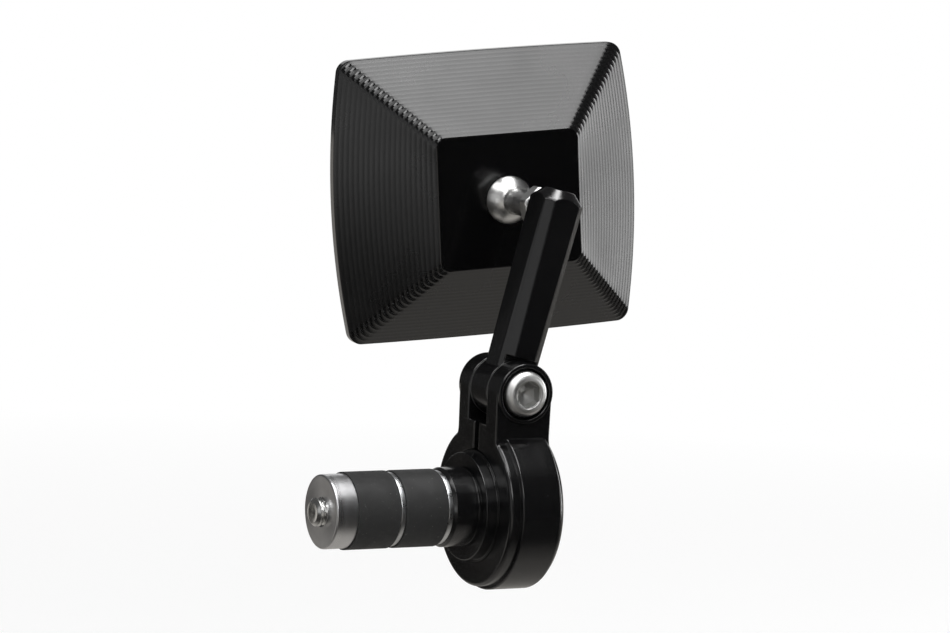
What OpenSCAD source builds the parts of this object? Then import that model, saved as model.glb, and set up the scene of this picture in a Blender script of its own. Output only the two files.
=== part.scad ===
// Bar end mirror for a motorcycle, left side.
// X runs along the handlebar and points outboard, Y points back to the rider, Z is up.
// The origin is on the bar's axis, where the fitting's collar meets the end of the tube.
// An expanding plug holds the fitting in the tube. A split ring turns on it, its two ears
// carry a faceted stalk on one screw, and the stalk carries a ball stud with the mirror head.

/* [Bar fitting] */
// Outside diameter of the handlebar tube that the collar meets
bar_od = 22.2; // [21:0.1:26]
// Diameter of the spigot that centres the fitting in the tube
spigot_d = 17; // [15.5:0.1:19]
// Length of the spigot
spigot_len = 6; // [4:0.5:10]
// Length of the collar between the tube and the ring
collar_len = 2.6; // [1.5:0.1:5]
// Diameter of the journal that the ring turns on
journal_d = 24; // [23:0.1:26]
// Diameter of the outer flange that keeps the ring on
flange_d = 27; // [26:0.5:34]
// Thickness of the outer flange
flange_len = 1.5; // [1.2:0.1:4]
// Outside diameter of the two rubber sleeves before they are squeezed
sleeve_d = 16.6; // [15:0.1:18]
// Length of each rubber sleeve
sleeve_len = 10; // [8:0.5:16]
// Thickness of the steel washers at the outer sleeve's ends
plate_t = 1.2; // [0.8:0.1:2]
// Length of the wedge nut that spreads the sleeve
wedge_len = 10; // [8:0.5:14]
// How far the wedge nut's cone reaches into the sleeve
wedge_in = 5; // [3:0.5:6]

/* [Screws] */
// Thread diameter of both screws
thread_d = 6; // [5:0.5:6.5]
// Head diameter of the expander screw
plug_head_d = 10; // [9:0.5:11]
// Head height of the expander screw
plug_head_h = 6; // [4:0.5:7]
// Rounding of the expander screw's head
plug_head_edge = 0.6; // [0.3:0.1:1.2]
// Head diameter of the clamp screw
clamp_head_d = 10; // [8.5:0.1:10.4]
// Head height of the clamp screw
clamp_head_h = 4; // [3:0.1:5]
// Rounding of the clamp screw's head
clamp_head_edge = 1.5; // [0.5:0.1:1.8]
// How deep the clamp screw's head sits in the front ear
clamp_head_sink = 2.8; // [1.5:0.1:2.9]
// Width across the flats of the expander screw's socket
plug_key = 5; // [4:0.5:5]
// Width across the flats of the clamp screw's socket
clamp_key = 5; // [3:0.5:5]

/* [Ring clamp] */
// Outside diameter of the ring
ring_d = 36; // [34:0.5:40]
// Width of the ring and of the ears along the bar
ring_w = 13; // [12:0.1:14]
// Width of the lower step at the ring's inboard side
step_w = 2.6; // [2:0.1:5]
// How far the step lies below the ring's surface
step_drop = 0.8; // [0.4:0.1:1.2]
// Chamfer at the ring's outboard edge
ring_chamfer = 1.4; // [0.6:0.1:1.6]
// Height of the stalk's pivot above the bar's axis
pivot_h = 25.2; // [24:0.1:30]
// Reach of the front ear from the bar's axis
ear_front = 9.5; // [9:0.1:11]
// Reach of the rear ear from the bar's axis
ear_rear = 9; // [8.5:0.1:11]
// Width of the slit that lets the ring close
slit_w = 2; // [1:0.1:2.6]
// How far the ears' round bosses stand proud of the neck
boss_proud = 0.7; // [0.4:0.1:1]
// Radius of the hollow curve between the neck and the ring
neck_curve = 5; // [3:0.5:8]

/* [Stalk] */
// Lean of the stalk outboard from upright, in degrees
stalk_lean = 14.5; // [0:0.5:30]
// Distance from the pivot to the ball stud's axis
stud_reach = 39.3; // [34:0.1:50]
// How far the stalk runs on past the stud's axis
tip_over = 4.4; // [4:0.1:8]
// Width of the stalk
stalk_w = 9.7; // [9.5:0.1:11.5]
// Thickness of the stalk from front to rear
stalk_t = 10; // [9:0.1:11]
// Corner facet of the stalk at its foot, measured along the side
foot_facet = 2.5; // [2:0.1:3.8]
// Corner facet of the stalk at its tip
tip_facet = 1.7; // [1.5:0.1:3]
// Diameter of the flat at the stalk's tip, inside its turned cone
tip_flat_d = 6.6; // [5:0.2:8]
// Thickness of the tongue between the ears
tongue_t = 7; // [6:0.1:7.4]
// Thickness of each friction washer
washer_t = 0.5; // [0.3:0.1:0.8]

/* [Ball joint] */
// Diameter of the ball
ball_d = 12; // [11:0.1:13]
// Distance from the stalk's middle plane to the ball's centre
ball_back = 22.3; // [21:0.1:28]
// How far the ball's centre lies behind the head's flat
ball_sink = 3; // [2.6:0.1:3.4]
// Thread diameter of the stud
stud_thread_d = 5; // [4:0.5:5.5]
// Width across the flats of the stud's hexagon, which seats on the stalk
stud_hex = 8; // [7:0.1:8.5]
// Thickness of the stud's hexagon
stud_hex_t = 3; // [2:0.1:4]
// Diameter of the stud's neck
neck_d = 5.8; // [5:0.1:6]
// Thickness of the floating friction liner
liner_t = 1.15; // [0.9:0.05:1.3]
// Outside diameter of the pressure cup
cup_d = 16.4; // [16.2:0.1:17.5]
// Height of the threaded retaining ring
retainer_h = 2.4; // [2:0.1:2.6]

/* [Mirror head] */
// Width of the head from corner to corner
head_w = 64.8; // [58:0.2:76]
// Height of the head at its corners
head_h = 62; // [56:0.2:72]
// How far each upright side bows out
side_bow = 2.7; // [1:0.1:4]
// How far the top and the bottom bow out
top_bow = 0.4; // [0.1:0.1:2]
// Width of the flat on the back
flat_w = 32.6; // [29:0.2:38]
// Height of the flat on the back
flat_h = 29; // [27.5:0.1:34]
// Rise of the pyramid from the rim to the flat
rise = 15; // [14.8:0.1:18]
// Height of the upright rim
rim_h = 2.5; // [2.5:0.1:4]
// Number of cutter passes down each face of the pyramid
passes = 20; // [12:1:22]
// Depth of each cutter pass
pass_depth = 0.08; // [0.05:0.01:0.25]
// Corner radius of the flat
flat_corner = 0.7; // [0.4:0.1:1.5]
// Corner radius of the rim
rim_corner = 2.4; // [2:0.1:6]
// Wall of the hollow housing
wall = 2.2; // [1.8:0.1:2.6]
// Width of the rim around the glass
rim_w = 1.5; // [1.2:0.1:2]
// Thickness of the glass at its middle
glass_t = 2.4; // [2:0.1:2.6]
// Radius of the convex glass
glass_radius = 1000; // [800:50:1400]
// Thickness of the adhesive frame behind the glass
pad_t = 0.5; // [0.3:0.1:0.6]
// Width of the adhesive frame, from the recess's wall in
pad_w = 2; // [1.4:0.1:2.1]
// Turn of the head about the upright axis, in degrees
head_turn = -7.5; // [-10:0.5:10]
// Roll of the head about the stud's axis, in degrees
head_roll = -5; // [-10:0.5:10]

/* [Hidden] */
$fn = 72;

// Clearances, each used wherever that kind of fit occurs
turn_gap = 0.05;   // between faces that turn on each other
pin_gap = 0.08;    // round a pin that something turns on
loose_gap = 0.4;   // round a screw in a through hole
edge_gap = 0.5;    // between the stalk and the ears' round ends
overlap = 1;       // how far a cut runs past the face that it opens

thread_r = thread_d / 2;
hole_r = thread_r + loose_gap / 2;

// Bar fitting, along X
collar_proud = 0.4;    // how far the collar stands proud of the tube
collar_d = bar_od + 2 * collar_proud;
ring_x = collar_len + turn_gap;
ring_mid = ring_x + ring_w / 2;
flange_x = ring_x + ring_w + turn_gap;
fitting_end = flange_x + flange_len;
plug_head_r = plug_head_d / 2;
counterbore_r = plug_head_r + loose_gap;
head_recess = 0.8;     // how far the expander screw's head lies below the flange
plug_head_x = fitting_end - head_recess - plug_head_h;
lock_washer_t = 1.4;
lock_washer_slot = 0.8;
outer_sleeve_x = -spigot_len - plate_t;
spacer_x = outer_sleeve_x - sleeve_len;
inner_sleeve_x = spacer_x - plate_t;
sleeve_end = inner_sleeve_x - sleeve_len;
wedge_end = sleeve_end - (wedge_len - wedge_in);
screw_past_nut = 2;
screw_edge = 0.6;      // chamfer at the end of a screw or spigot
flange_edge = 0.6;     // chamfer round the outer flange
plate_inset = 0.4;     // how far the washers and the wedge nut stay inside the sleeves' diameter
wedge_taper = 3;       // how much the wedge nut's cone narrows
plate_r = sleeve_d / 2 - plate_inset;
wedge_r = plate_r;
wedge_tip_r = wedge_r - wedge_taper;
sleeve_bore_r = hole_r + loose_gap;

// Ring clamp
ring_r = ring_d / 2;
step_r = ring_r - step_drop;
bore_r = journal_d / 2 + turn_gap;
ear_r = ring_w / 2;
pivot = [ring_mid, 0, pivot_h];
slot_half = tongue_t / 2 + turn_gap + washer_t;
slot_floor = pivot_h - ear_r - edge_gap;
flank_inset = 0.6;     // how far below the step and the chamfer the neck's curves run out
flank_r = min(step_r, ring_r - ring_chamfer) - flank_inset;
screw_end_sunk = 0.8;  // how far the clamp screw's end lies inside the rear ear
clamp_screw_end = ear_rear - screw_end_sunk;
spotface_gap = 0.5;    // round the clamp screw's head
spotface_r = clamp_head_d / 2 + spotface_gap;
step_edge = 0.5;       // chamfer at the ring's inboard edge

// Stalk, in its own frame with the pivot at the origin
shoulder = ear_r + edge_gap;
stalk_end = stud_reach + tip_over;
tongue_r = ear_r - 0.1;
stud_wall = 1.6;       // metal left in front of the stud's blind hole
stud_thread_r = stud_thread_d / 2;
stud_depth = stalk_t / 2 - stud_wall;

// Ball joint and head, in their own frame with the ball's centre at the origin
ball_r = ball_d / 2;
ball_centre = pivot + [stud_reach * sin(stalk_lean), ball_back, stud_reach * cos(stalk_lean)];
seat_r = ball_r + turn_gap;
flat_y = -ball_sink;
rim_y = flat_y + rise;
front_y = rim_y + rim_h;
liner_in = ball_r + turn_gap;
liner_out = liner_in + liner_t;
liner_front = 2.6;
liner_back = 5.9;
cup_in = liner_out + turn_gap;
cup_r = cup_d / 2;
cup_front = 1.4;
cup_wall = 0.5;
cup_back = cup_in + cup_wall;
spring_t = 0.5;
spring_rise = 0.35;
retainer_y = cup_back + spring_t + spring_rise;
boss_wall = 2.6;
boss_r = cup_r + boss_wall;
retainer_sunk = 0.1;   // how far the retaining ring lies inside its bore
boss_end = retainer_y + retainer_h + retainer_sunk;
glass_front = front_y;
glass_back = glass_front - glass_t;
ledge_y = glass_back - pad_t;
glass_gap = 0.25;
pad_gap = 0.3;         // from the pad to the walls round it
spanner_hole_r = 0.9;
spanner_hole_in = 2.6; // from the retaining ring's edge to its spanner holes
spanner_hole_at = cup_r - spanner_hole_in;
retainer_bore_r = 3;
spring_edge = 0.4;     // from the disc spring to the wall of its bore
spring_bore_r = 4.2;
rim_edge = 0.4;        // chamfer round the rim
hollow_corner = 1;

// Turns a shape made along Z so that it lies along X, or along Y
module along_x() { rotate([0, 90, 0]) children(); }
module along_y() { rotate([-90, 0, 0]) children(); }

// The middle of a ring whose points lie evenly about it
function middle_of(ring) = [for (p = ring) 1] * ring / len(ring);

// Closed solid over a list of rings, each with as many points. Each end is a fan about its middle.
module skin(rings) {
    n = len(rings[0]);
    last = len(rings) - 1;
    near = len(rings) * n;
    far = near + 1;
    points = concat([for (ring = rings) each ring], [middle_of(rings[0]), middle_of(rings[last])]);
    sides = [
        for (k = [0:last - 1], i = [0:n - 1])
        let (a = k * n + i, b = k * n + (i + 1) % n)
        each [[a, b, b + n], [a, b + n, a + n]]
    ];
    near_end = [for (i = [0:n - 1]) [near, (i + 1) % n, i]];
    far_end = [for (i = [0:n - 1]) [far, last * n + i, last * n + (i + 1) % n]];
    polyhedron(points, concat(sides, near_end, far_end), convexity = 6);
}

function lerp(a, b, t) = a + (b - a) * t;

// Outline of the head: a rectangle with round corners, each side bowed out. Half sizes a and b.
corner_steps = 3;
side_steps = 8;
top_steps = 2;
function bowed(p, a, b, side, top) = [
    p[0] * (1 + side / a * (1 - pow(p[1] / b, 2))),
    p[1] * (1 + top / b * (1 - pow(p[0] / a, 2)))
];
function quarter(a, b, r, turn) =
    let (cx = sign(cos(turn + 45)) * (a - r), cy = sign(sin(turn + 45)) * (b - r))
    [for (k = [0:corner_steps]) let (t = turn + 90 * k / corner_steps) [cx + r * cos(t), cy + r * sin(t)]];
function between(p, q, steps) = [for (k = [1:steps - 1]) lerp(p, q, k / steps)];
function outline(a, b, r, side, top) =
    let (
        c0 = quarter(a, b, r, 0), c1 = quarter(a, b, r, 90),
        c2 = quarter(a, b, r, 180), c3 = quarter(a, b, r, 270),
        e = corner_steps,
        loop = concat(
            c0, between(c0[e], c1[0], top_steps), c1, between(c1[e], c2[0], side_steps),
            c2, between(c2[e], c3[0], top_steps), c3, between(c3[e], c0[0], side_steps)
        )
    )
    [for (p = loop) bowed(p, a, b, side, top)];

// Outline of the rim, drawn in by a margin
least_corner = 0.4;
function rim_outline(margin) = outline(
    head_w / 2 - margin, head_h / 2 - margin, max(rim_corner - margin, least_corner), side_bow, top_bow
);

// A ring of the pyramid: t runs from 0 at the flat to 1 at the rim, cut is how deep it is cut
slope = atan(rise / ((head_w - flat_w) / 2));
function pyramid_ring(t, cut, y) = [
    for (p = outline(
        lerp(flat_w, head_w, t) / 2 - cut * sin(slope), lerp(flat_h, head_h, t) / 2 - cut * sin(slope),
        lerp(flat_corner, rim_corner, t), side_bow * t, top_bow * t
    ))
    [p[0], y + cut * cos(slope), p[1]]
];

// Every pass of the cutter leaves a shallow trough between two crests
trough_steps = 2;
function pyramid_rings() = [
    for (i = [0:passes * trough_steps - 1])
    let (t = i / (passes * trough_steps), f = (i % trough_steps) / trough_steps)
    pyramid_ring(t, pass_depth * 4 * f * (1 - f), lerp(flat_y, rim_y, t))
];

function flat_ring(margin, y) = [for (p = rim_outline(margin)) [p[0], y, p[1]]];

// The hollow behind the glass follows the outside at the depth of the wall
function across(run) = wall * sqrt(run * run + rise * rise) / rise;
function hollow_ring(y) =
    let (t = (y - flat_y) / rise)
    [for (p = outline(
        lerp(flat_w, head_w, t) / 2 - across((head_w - flat_w) / 2),
        lerp(flat_h, head_h, t) / 2 - across((head_h - flat_h) / 2),
        hollow_corner, side_bow * t, top_bow * t
    )) [p[0], y, p[1]]];

// A flat plate with the rim's outline drawn in by a margin, from y0 to y1
module plate(margin, y0, y1) {
    translate([0, y1, 0]) rotate([90, 0, 0]) linear_extrude(y1 - y0) polygon(rim_outline(margin));
}

// Places what is drawn about the ball's centre
module at_head() { translate(ball_centre) rotate([0, head_roll, head_turn]) children(); }
// Places what is drawn about the stalk's pivot
module at_stalk() { translate(pivot) rotate([0, stalk_lean, 0]) children(); }

module bar_fitting() {
    color([0.05, 0.05, 0.055]) difference() {
        along_x() rotate_extrude() polygon([
            [0, -spigot_len], [spigot_d / 2 - screw_edge, -spigot_len],
            [spigot_d / 2, screw_edge - spigot_len], [spigot_d / 2, 0],
            [collar_d / 2, 0], [collar_d / 2, collar_len],
            [journal_d / 2, collar_len], [journal_d / 2, flange_x], [flange_d / 2, flange_x],
            [flange_d / 2, fitting_end - flange_edge], [flange_d / 2 - flange_edge, fitting_end],
            [0, fitting_end]
        ]);
        translate([-spigot_len - overlap, 0, 0]) along_x()
            cylinder(r = hole_r, h = spigot_len + fitting_end + 2 * overlap);
        translate([plug_head_x - lock_washer_t, 0, 0]) along_x()
            cylinder(r = counterbore_r, h = fitting_end);
    }
}

// A washer or a sleeve on the bar's axis, from x on over a length
module tube(x, outer_r, bore_r, length) {
    translate([x, 0, 0]) along_x() difference() {
        cylinder(r = outer_r, h = length);
        translate([0, 0, -overlap]) cylinder(r = bore_r, h = length + 2 * overlap);
    }
}

module sleeve_washer() {
    color([0.6, 0.6, 0.6]) tube(outer_sleeve_x, plate_r, hole_r, plate_t);
}

module outer_sleeve() {
    color([0.04, 0.04, 0.04]) tube(spacer_x, sleeve_d / 2, sleeve_bore_r, sleeve_len);
}

module sleeve_spacer() {
    color([0.6, 0.6, 0.6]) tube(inner_sleeve_x, plate_r, hole_r, plate_t);
}

// The wedge nut's cone, which is also the mouth of the inner sleeve
module wedge_cone() {
    translate([sleeve_end, 0, 0]) along_x() cylinder(r1 = wedge_r, r2 = wedge_tip_r, h = wedge_in);
}

module inner_sleeve() {
    color([0.04, 0.04, 0.04]) difference() {
        tube(sleeve_end, sleeve_d / 2, sleeve_bore_r, sleeve_len);
        wedge_cone();
    }
}

module wedge_nut() {
    color([0.62, 0.63, 0.64]) difference() {
        union() {
            translate([wedge_end, 0, 0]) along_x() cylinder(r = wedge_r, h = wedge_len - wedge_in);
            wedge_cone();
        }
        translate([wedge_end - overlap, 0, 0]) along_x()
            cylinder(r = thread_r, h = wedge_len + 2 * overlap);
    }
}

// A screw with a round head and a hexagon socket. Its head stands on the plane z = 0, and its
// upper edge is rounded off over a radius.
socket_floor = 1.7;    // metal left under a screw's socket
round_steps = 4;
module socket_screw(head_r, head_h, key, length, edge) {
    rounded = [
        for (k = [0:round_steps]) let (t = 90 * k / round_steps)
        [head_r - edge * (1 - cos(t)), head_h - edge * (1 - sin(t))]
    ];
    difference() {
        rotate_extrude() polygon(concat(
            [[0, -length], [thread_r - screw_edge, -length], [thread_r, screw_edge - length]],
            [[thread_r, 0], [head_r, 0]], rounded, [[0, head_h]]
        ));
        translate([0, 0, socket_floor]) cylinder(d = key / cos(30), h = head_h, $fn = 6);
    }
}

module expander_screw() {
    color([0.5, 0.5, 0.52]) translate([plug_head_x, 0, 0]) along_x()
        socket_screw(
            plug_head_r, plug_head_h, plug_key, plug_head_x - wedge_end + screw_past_nut, plug_head_edge
        );
}

module spring_washer() {
    color([0.5, 0.5, 0.5]) translate([plug_head_x - lock_washer_t, 0, 0]) along_x() difference() {
        cylinder(r = plug_head_r, h = lock_washer_t);
        translate([0, 0, -overlap]) cylinder(r = thread_r + pin_gap, h = lock_washer_t + 2 * overlap);
        rotate([18, 0, 0]) translate([0, -lock_washer_slot / 2, -overlap])
            cube([plug_head_d, lock_washer_slot, lock_washer_t + 2 * overlap]);
    }
}

// One side of the neck in side view: down the ear, round a hollow curve, and onto the ring's flank.
// Reach is the neck's own reach from the bar's axis on that side, drawn as Y and Z.
curve_steps = 6;
function neck_side(reach) =
    let (
        away = reach + neck_curve,
        rise = sqrt(pow(flank_r + neck_curve, 2) - away * away),
        turn = atan2(rise, away)
    )
    concat([[reach, pivot_h]], [
        for (k = [0:curve_steps]) let (t = turn * k / curve_steps)
        [away - neck_curve * cos(t), rise - neck_curve * sin(t)]
    ]);

module neck_profile() {
    front = neck_side(ear_front - boss_proud);
    rear = neck_side(ear_rear - boss_proud);
    last = len(rear) - 1;
    polygon(concat([[0, 0]], [for (k = [0:last]) [-front[last - k][0], front[last - k][1]]], rear));
}

module ring_clamp() {
    color([0.05, 0.05, 0.055]) difference() {
        union() {
            translate([ring_x, 0, 0]) along_x() rotate_extrude() polygon([
                [bore_r, 0], [step_r - step_edge, 0], [step_r, step_edge], [step_r, step_w],
                [ring_r, step_w], [ring_r, ring_w - ring_chamfer],
                [ring_r - ring_chamfer, ring_w], [bore_r, ring_w]
            ]);
            difference() {
                union() {
                    translate([ring_x, 0, 0]) rotate([90, 0, 90]) linear_extrude(ring_w) neck_profile();
                    translate(pivot - [0, ear_front, 0]) along_y()
                        cylinder(r = ear_r, h = ear_front + ear_rear);
                }
                translate([ring_x - overlap, 0, 0]) along_x() cylinder(r = bore_r, h = ring_w + 2 * overlap);
            }
        }
        // The slot for the stalk's tongue, and the slit below it down to the bore
        translate([ring_x - overlap, -slot_half, slot_floor])
            cube([ring_w + 2 * overlap, 2 * slot_half, 2 * ear_r + 2 * edge_gap]);
        translate([ring_x - overlap, -slit_w / 2, bore_r - overlap])
            cube([ring_w + 2 * overlap, slit_w, slot_floor - bore_r + 2 * overlap]);
        // The screw's way through the front ear, its spotface, and the thread in the rear ear
        translate(pivot + [0, -ear_front - overlap, 0]) along_y() {
            cylinder(r = hole_r, h = ear_front + overlap);
            cylinder(r = spotface_r, h = clamp_head_sink + overlap);
        }
        translate(pivot) along_y() cylinder(r = thread_r, h = ear_rear + overlap);
    }
}

module clamp_screw() {
    seat = clamp_head_sink - ear_front;
    color([0.8, 0.8, 0.8]) translate(pivot + [0, seat, 0]) rotate([90, 0, 0])
        socket_screw(
            clamp_head_d / 2, clamp_head_h, clamp_key, clamp_screw_end - seat, clamp_head_edge
        );
}

module friction_washer(y) {
    color([0.1, 0.1, 0.1]) translate(pivot + [0, y, 0]) along_y() difference() {
        cylinder(r = tongue_r, h = washer_t);
        translate([0, 0, -overlap]) cylinder(r = thread_r + pin_gap, h = washer_t + 2 * overlap);
    }
}
module front_friction_washer() { friction_washer(-slot_half); }
module rear_friction_washer() { friction_washer(slot_half - washer_t); }

// One eight-sided ring of the stalk
function facets(z, cut) =
    let (a = stalk_w / 2, b = stalk_t / 2)
    [
        [-a, cut - b, z], [cut - a, -b, z], [a - cut, -b, z], [a, cut - b, z],
        [a, b - cut, z], [a - cut, b, z], [cut - a, b, z], [-a, b - cut, z]
    ];

// Everything inside the cone that is turned on the stalk's tip
module tip_cone() {
    cone_r = norm([stalk_w, stalk_t]) / 2;
    flat_r = tip_flat_d / 2;
    rotate_extrude() polygon([
        [0, -overlap], [cone_r, -overlap], [cone_r, stalk_end - cone_r + flat_r],
        [flat_r, stalk_end], [0, stalk_end]
    ]);
}

module stalk() {
    color([0.05, 0.05, 0.055]) at_stalk() difference() {
        union() {
            intersection() {
                skin([facets(stalk_end + overlap, tip_facet), facets(0, foot_facet)]);
                tip_cone();
            }
            rotate([90, 0, 0]) cylinder(r = tongue_r, h = tongue_t + overlap, center = true);
        }
        // Both flanks are milled off up to the shoulder, which leaves the tongue
        for (side = [-1, 1]) translate([-tongue_r - overlap, side * (tongue_t + stalk_t) / 2, 0])
            translate([0, -stalk_t / 2, -tongue_r - overlap])
            cube([2 * tongue_r + 2 * overlap, stalk_t, shoulder + tongue_r + overlap]);
        translate([0, -stalk_t, 0]) along_y() cylinder(r = thread_r + pin_gap, h = 2 * stalk_t);
        translate([0, -stud_depth, stud_reach]) along_y() cylinder(r = stud_thread_r, h = stalk_t);
    }
}

module ball_stud() {
    foot = -ball_back - stud_depth;
    color([0.8, 0.8, 0.8]) translate(ball_centre) {
        sphere(r = ball_r);
        translate([0, stalk_t / 2 - ball_back, 0]) along_y() {
            cylinder(d = neck_d, h = ball_back - stalk_t / 2);
            rotate([0, 0, stalk_lean]) cylinder(d = stud_hex / cos(30), h = stud_hex_t, $fn = 6);
        }
        translate([0, foot, 0]) along_y() cylinder(r = stud_thread_r, h = stud_depth + stalk_t / 2);
    }
}

// A slice of a ball, from y0 to y1
module ball_slice(r, y0, y1) {
    intersection() {
        sphere(r = r);
        translate([0, y0, 0]) along_y() cylinder(r = r + 1, h = y1 - y0);
    }
}

module friction_liner() {
    color([0.85, 0.85, 0.82]) at_head() difference() {
        ball_slice(liner_out, liner_front, liner_back);
        sphere(r = liner_in);
    }
}

module pressure_cup() {
    color([0.6, 0.6, 0.62]) at_head() difference() {
        translate([0, cup_front, 0]) along_y() cylinder(r = cup_r - turn_gap, h = cup_back - cup_front);
        sphere(r = cup_in);
    }
}

module disc_spring() {
    outer = cup_r - spring_edge;
    color([0.45, 0.45, 0.47]) at_head() translate([0, cup_back, 0]) along_y() rotate_extrude() polygon([
        [spring_bore_r, 0], [outer, spring_rise], [outer, spring_rise + spring_t], [spring_bore_r, spring_t]
    ]);
}

module retaining_ring() {
    color([0.6, 0.6, 0.62]) at_head() translate([0, retainer_y, 0]) along_y() difference() {
        cylinder(r = cup_r, h = retainer_h);
        translate([0, 0, -overlap]) cylinder(r = retainer_bore_r, h = retainer_h + 2 * overlap);
        for (side = [-1, 1]) translate([side * spanner_hole_at, 0, -overlap])
            cylinder(r = spanner_hole_r, h = retainer_h + 2 * overlap);
    }
}

module head_housing() {
    color([0.05, 0.05, 0.055]) at_head() difference() {
        skin(concat(pyramid_rings(), [
            flat_ring(0, rim_y), flat_ring(0, front_y - rim_edge), flat_ring(rim_edge, front_y)
        ]));
        // The recess for the pad and the glass, and the hollow round the boss
        plate(rim_w, ledge_y, front_y + overlap);
        difference() {
            skin([hollow_ring(flat_y + wall), hollow_ring(ledge_y)]);
            translate([0, flat_y, 0]) along_y() cylinder(r = boss_r, h = boss_end - flat_y);
        }
        // The ball's seat, its mouth, and the bore for the cup and the retaining ring
        sphere(r = seat_r);
        along_y() cylinder(r = cup_r, h = boss_end + overlap);
    }
}

module glass_pad() {
    color([0.1, 0.1, 0.1]) at_head() difference() {
        plate(rim_w + pad_gap, ledge_y, glass_back);
        plate(rim_w + pad_w, ledge_y - overlap, glass_back + overlap);
    }
}

// Half a section through the glass: flat behind, an arc in front, from its middle out past its corners
lens_r = norm([head_w / 2 + side_bow, head_h / 2 + top_bow]);
lens_steps = 12;
function lens_section() = concat(
    [[0, glass_back]],
    [for (k = [0:lens_steps]) let (r = lens_r * k / lens_steps)
        [r, glass_front - glass_radius + sqrt(glass_radius * glass_radius - r * r)]],
    [[lens_r, glass_back]]
);

module mirror_glass() {
    color([0.8, 0.84, 0.88]) at_head() intersection() {
        plate(rim_w + glass_gap, glass_back, glass_front + overlap);
        along_y() rotate_extrude() polygon(lens_section());
    }
}

bar_fitting();
sleeve_washer();
outer_sleeve();
sleeve_spacer();
inner_sleeve();
wedge_nut();
expander_screw();
spring_washer();
ring_clamp();
clamp_screw();
front_friction_washer();
rear_friction_washer();
stalk();
ball_stud();
friction_liner();
pressure_cup();
disc_spring();
head_housing();
retaining_ring();
glass_pad();
mirror_glass();
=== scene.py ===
import math

import bmesh
import bpy
import numpy as np
from mathutils import Matrix, Vector


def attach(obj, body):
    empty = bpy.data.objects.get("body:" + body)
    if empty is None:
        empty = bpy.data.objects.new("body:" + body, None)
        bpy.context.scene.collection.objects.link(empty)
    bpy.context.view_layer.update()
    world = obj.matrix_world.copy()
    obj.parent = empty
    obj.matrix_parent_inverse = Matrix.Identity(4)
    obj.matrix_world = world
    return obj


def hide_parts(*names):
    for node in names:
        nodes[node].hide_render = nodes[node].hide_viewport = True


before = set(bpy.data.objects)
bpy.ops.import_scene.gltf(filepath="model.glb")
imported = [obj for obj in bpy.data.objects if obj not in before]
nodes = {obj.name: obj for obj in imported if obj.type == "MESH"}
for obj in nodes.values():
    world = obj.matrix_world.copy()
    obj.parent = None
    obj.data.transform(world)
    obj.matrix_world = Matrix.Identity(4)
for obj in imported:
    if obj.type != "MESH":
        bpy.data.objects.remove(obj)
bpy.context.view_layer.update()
scene = bpy.context.scene


# ---- Camera ----
# The photograph looks at the mirror's back from the front of the machine, about a metre away and
# a little from above. The lens is long, and the camera leans so that uprights tip to the right.
camera_data = bpy.data.cameras.new("camera")
camera_data.lens = 190
camera_data.sensor_width = 36
camera_data.clip_end = 30
camera = bpy.data.objects.new("camera", camera_data)
scene.collection.objects.link(camera)
camera_place = Vector((-0.4965, -0.929, 0.172))
camera_aim = Vector((0.0075, 0.012, 0.039))
camera_lean = math.radians(2.67)
camera.matrix_world = (
    Matrix.Translation(camera_place)
    @ (camera_aim - camera_place).to_track_quat("-Z", "Y").to_matrix().to_4x4()
    @ Matrix.Rotation(camera_lean, 4, "Z")
)
scene.camera = camera
scene.view_settings.view_transform = "Standard"


# ---- Floor, backdrop and lights ----
# A pale floor that sweeps up into a pale wall all round, white to the camera. What shines on the
# part is ten soft boxes, one dark card, and a painted reflection: a glowing patch and beams on the floor.
def new_material(name, colour=(0.8, 0.8, 0.8), roughness=0.5, metallic=0.0, ior=1.5):
    """A material, its node tree and its Principled shader, with the values that don't vary."""
    material = bpy.data.materials.new(name)
    material.use_nodes = True
    tree = material.node_tree
    shader = tree.nodes["Principled BSDF"]
    shader.inputs["Base Color"].default_value = (*colour, 1)
    shader.inputs["Roughness"].default_value = roughness
    shader.inputs["Metallic"].default_value = metallic
    shader.inputs["IOR"].default_value = ior
    material.diffuse_color = (*colour, 1)
    return material, tree, shader


def swept_sheet(name, profile, material, around=96):
    """A sheet turned about the upright axis through the part, from (radius, height) points."""
    points, faces = [(0, 0, profile[0][1])], []
    for radius, height in profile:
        for i in range(around):
            turn = 2 * math.pi * i / around
            points.append((radius * math.cos(turn), radius * math.sin(turn), height))
    if profile[0][0] < 0.1:
        faces += [(0, 1 + i, 1 + (i + 1) % around) for i in range(around)]
    for k in range(len(profile) - 1):
        a, b = 1 + k * around, 1 + (k + 1) * around
        faces += [(a + i, b + i, b + (i + 1) % around, a + (i + 1) % around) for i in range(around)]
    mesh = bpy.data.meshes.new(name)
    mesh.from_pydata(points, [], faces)
    mesh.polygons.foreach_set("use_smooth", [True] * len(mesh.polygons))
    mesh.materials.append(material)
    sheet = bpy.data.objects.new(name, mesh)
    scene.collection.objects.link(sheet)
    return sheet


# The sweep's paper: white to the camera. To gloss it shows a painted reflection, bright only in a
# patch under the part and in broad beams that fan out from it, with dark gaps between them that shape the
# black metal.
lit_point = Vector((0.02, 0.02, 0.06))
floor_z, floor_r, cove_r, wall_top = -0.12, 2.2, 1.2, 6.0
patch_centre, gap = (0.08, 0.12, floor_z), 0.03
shadow_reach = {"From_Min": 0.3, "From_Max": 0.8}
beams = [
    (-180, gap), (-150, gap), (-138, 0.5), (-108, 0.5), (-98, gap), (-47, gap), (-40, 0.45),
    (-24, 0.45), (-17, gap), (12, gap), (20, 0.2), (38, 0.2), (46, 0.6), (104, 0.6), (112, gap),
    (124, gap), (132, 0.6), (160, 0.6), (170, gap), (180, gap),
]
paper, tree, shader = new_material("sweep_paper", (0.8, 0.8, 0.8), 0.9)


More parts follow.
